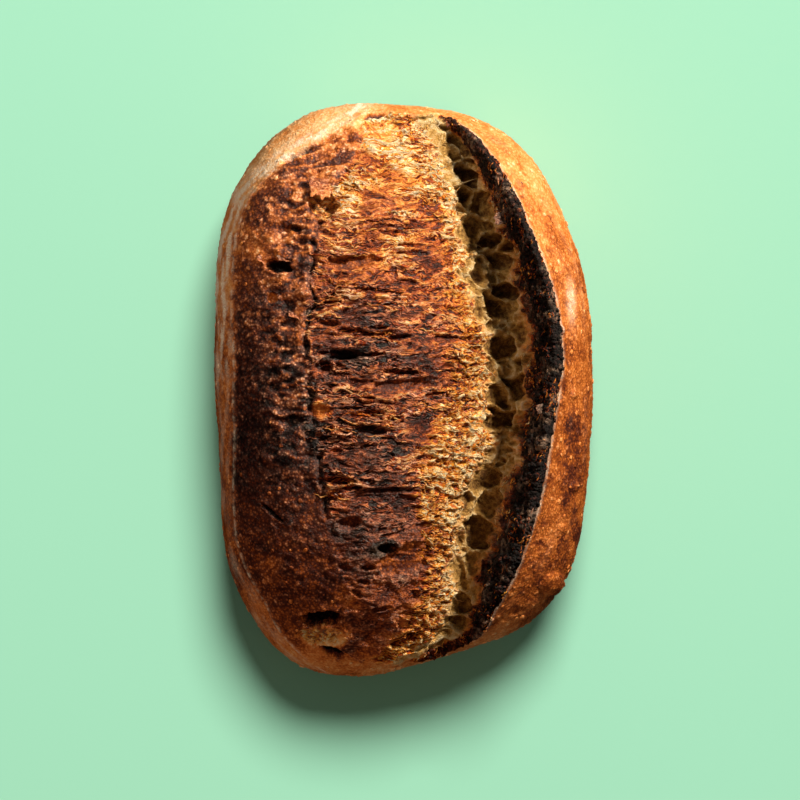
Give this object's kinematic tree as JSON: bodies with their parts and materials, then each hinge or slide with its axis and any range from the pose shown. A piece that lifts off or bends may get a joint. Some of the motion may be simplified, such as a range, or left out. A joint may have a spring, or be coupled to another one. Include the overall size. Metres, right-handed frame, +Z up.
{
  "type": "sourdough loaf",
  "caption": "Oval hearth-baked sourdough batard with a flat base, a raised crisp ear along one deep score, a torn bloom and a valley of open crumb.",
  "frame": {"origin": "middle of the loaf's bounding box on the plane of its flat base, where it lies on a surface", "axes": "+Z up, +Y along the loaf towards the end where the ear starts nearest the middle, +X across it towards the side with the ear"},
  "size_m": [0.166, 0.25, 0.088],
  "materials": {
    "crust": "satin"
  },
  "bodies": {
    "root": {"sourdough_loaf": "crust"}
  },
  "joints": []
}
